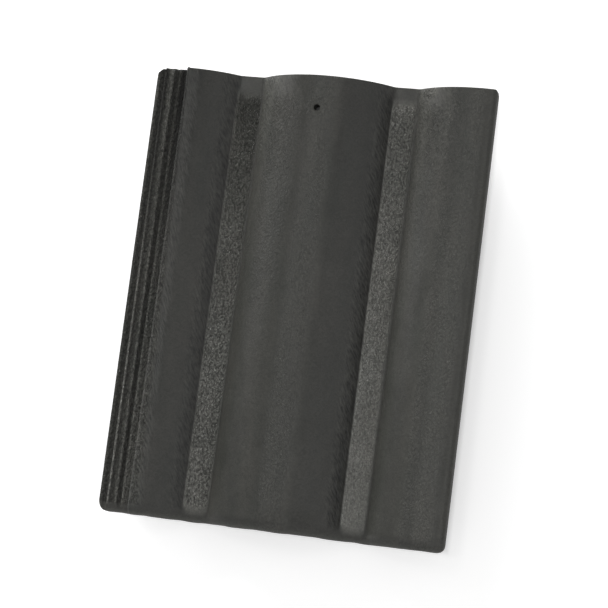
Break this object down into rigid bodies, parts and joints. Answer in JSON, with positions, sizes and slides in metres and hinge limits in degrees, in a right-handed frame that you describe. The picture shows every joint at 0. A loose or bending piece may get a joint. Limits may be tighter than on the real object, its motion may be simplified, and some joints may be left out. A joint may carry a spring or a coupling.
{
  "type": "concrete roof tile",
  "caption": "Interlocking concrete roof tile with a wide middle roll between flat pans, a ribbed and stepped side lock, a lapping edge, a rounded nose, hanging nibs and a nail hole.",
  "frame": {"origin": "on the ground under the middle of the tile's bounding box", "axes": "+X across the roof from the side lock to the lapping edge, +Y up the slope from the nose to the head, +Z out of the roof"},
  "size_m": [0.33, 0.424, 0.05],
  "materials": {
    "coated_concrete": "dark grey through-coloured concrete with a thin satin coating, fine granular surface"
  },
  "bodies": {
    "root": {"roof_tile": "coated_concrete"}
  },
  "joints": []
}
